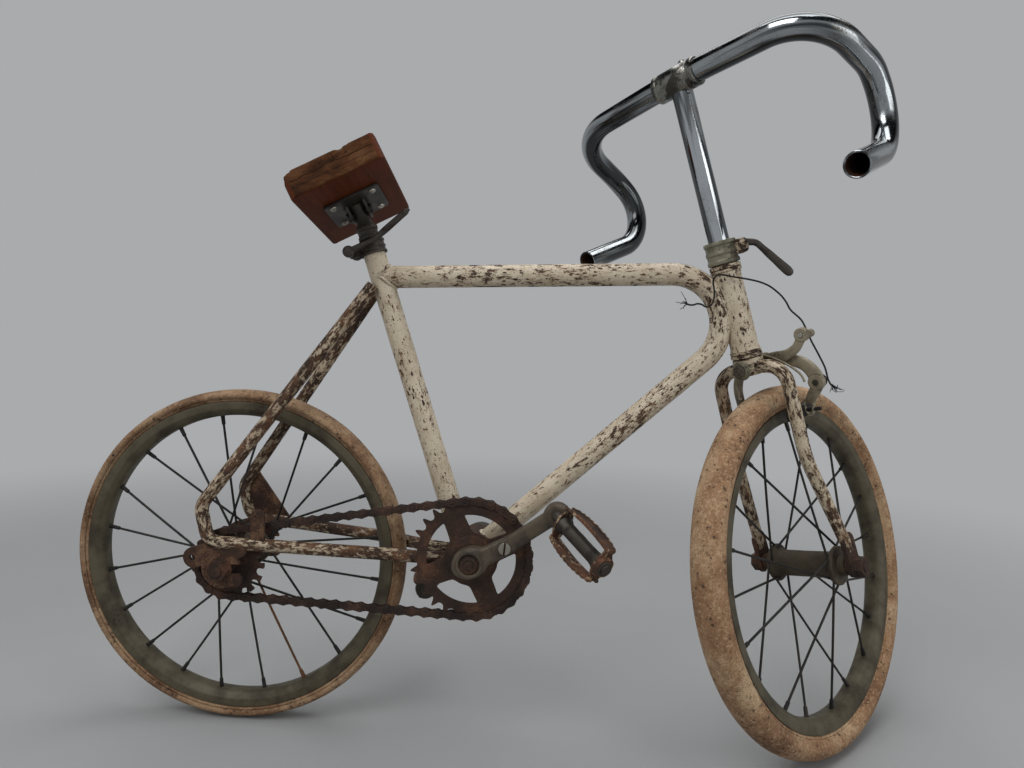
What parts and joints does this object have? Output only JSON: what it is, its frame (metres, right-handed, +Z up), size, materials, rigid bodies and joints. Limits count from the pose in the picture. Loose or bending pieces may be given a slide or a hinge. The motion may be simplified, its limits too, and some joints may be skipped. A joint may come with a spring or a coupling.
{
  "type": "bicycle",
  "caption": "Small child's bicycle, old and rusted, with wide drop bars, a bent main tube, a board for a saddle and a steered front wheel.",
  "frame": {"origin": "middle of the saddle board's top, where the rider sits and holds the bicycle upright", "axes": "+X forward along the frame, +Y to the bicycle's left, +Z up"},
  "size_m": [0.8849, 0.3024, 0.6774],
  "materials": {
    "painted_tube": "old cream paint, chipped to rust",
    "rusty_steel": "dark brown rust",
    "rusty_chain": "dark brown rust",
    "grey_steel": "dull grey, stained",
    "pitted_chrome": "worn, pitted and stained",
    "tarnished_rim": "greenish grey, tarnished",
    "dark_wire": "dull black",
    "weathered_tyre": "dry tan rubber, weathered",
    "brake_alloy": "dull grey cream",
    "saddle_wood": "dry red-brown board with a chipped edge",
    "shoe_rubber": "hard dark rubber"
  },
  "bodies": {
    "frame": {"head_tube": "painted_tube", "main_tube": "painted_tube", "seat_tube": "painted_tube", "bottom_bracket_shell": "rusty_steel", "bottom_bracket_cups": "rusty_steel", "rear_stay_right": "painted_tube", "rear_stay_left": "painted_tube", "dropout_right": "rusty_steel", "dropout_left": "rusty_steel", "headset_cups": "rusty_steel", "rear_axle": "rusty_steel", "rear_axle_nuts": "rusty_steel", "seat_post": "rusty_steel", "seat_clamp": "rusty_steel", "seat_clamp_lever": "rusty_steel", "saddle_bracket": "grey_steel", "saddle_board": "saddle_wood", "chain_side_right": "rusty_chain", "chain_side_left": "rusty_chain", "chain_rollers": "rusty_chain"},
    "steering": {"steerer": "rusty_steel", "fork_blade_right": "painted_tube", "fork_blade_left": "painted_tube", "fork_ends": "rusty_steel", "front_axle": "rusty_steel", "front_axle_nuts": "rusty_steel", "stem": "pitted_chrome", "stem_clamp": "painted_tube", "stem_clamp_lever": "rusty_steel", "handlebar": "pitted_chrome", "handlebar_sleeve": "pitted_chrome", "brake_bolt": "rusty_steel", "brake_arm_rear": "brake_alloy", "brake_arm_front": "brake_alloy", "brake_spring": "rusty_steel", "brake_shoes": "shoe_rubber", "cable_anchor": "rusty_steel", "brake_cable": "dark_wire"},
    "front_wheel": {"front_tyre": "weathered_tyre", "front_rim": "tarnished_rim", "front_spokes": "dark_wire", "front_hub": "rusty_steel"},
    "rear_wheel": {"rear_tyre": "weathered_tyre", "rear_rim": "tarnished_rim", "rear_spokes": "dark_wire", "rear_hub": "rusty_steel"},
    "rear_sprocket": {"sprocket": "rusty_steel"},
    "crankset": {"chainring": "rusty_steel", "crank_axle": "rusty_steel", "crank_right": "grey_steel", "crank_left": "rusty_steel", "crank_nuts": "rusty_steel", "pedal_pins": "rusty_steel"},
    "pedal_right": {"pedal_right_cage": "grey_steel", "pedal_right_barrel": "rusty_steel"},
    "pedal_left": {"pedal_left_cage": "rusty_steel", "pedal_left_barrel": "rusty_steel"}
  },
  "joints": [
    {"name": "steering_turn", "type": "hinge", "parent": "frame", "child": "steering", "pos_m": [0.38806, -0.00272, -0.119], "axis": [-0.2756, 0, 0.9613], "range_deg": [-105, 15], "deforming": ["brake_cable"]},
    {"name": "front_wheel_spin", "type": "hinge", "parent": "steering", "child": "front_wheel", "pos_m": [0.47334, 0.01001, -0.37023], "axis": [-0.6797, 0.7071, -0.1949], "continuous": true},
    {"name": "rear_wheel_spin", "type": "hinge", "parent": "frame", "child": "rear_wheel", "pos_m": [-0.10244, -0.00272, -0.379], "axis": [0, 1, 0], "continuous": true},
    {"name": "crank_turn", "type": "hinge", "parent": "frame", "child": "crankset", "pos_m": [0.13722, -0.00272, -0.365], "axis": [0, 1, 0], "continuous": true},
    {"name": "sprocket_turn", "type": "hinge", "parent": "frame", "child": "rear_sprocket", "pos_m": [-0.10244, -0.03672, -0.379], "axis": [0, 1, 0], "continuous": true},
    {"name": "pedal_right_spin", "type": "hinge", "parent": "crankset", "child": "pedal_right", "pos_m": [0.21857, -0.07172, -0.31217], "axis": [0.5299, -0.7608, -0.3746], "continuous": true},
    {"name": "pedal_left_spin", "type": "hinge", "parent": "crankset", "child": "pedal_left", "pos_m": [0.07857, 0.06728, -0.4279], "axis": [0, 1, 0], "continuous": true}
  ],
  "couplings": [
    {"joint": "sprocket_turn", "follows": "crank_turn", "ratio": 1.75}
  ]
}
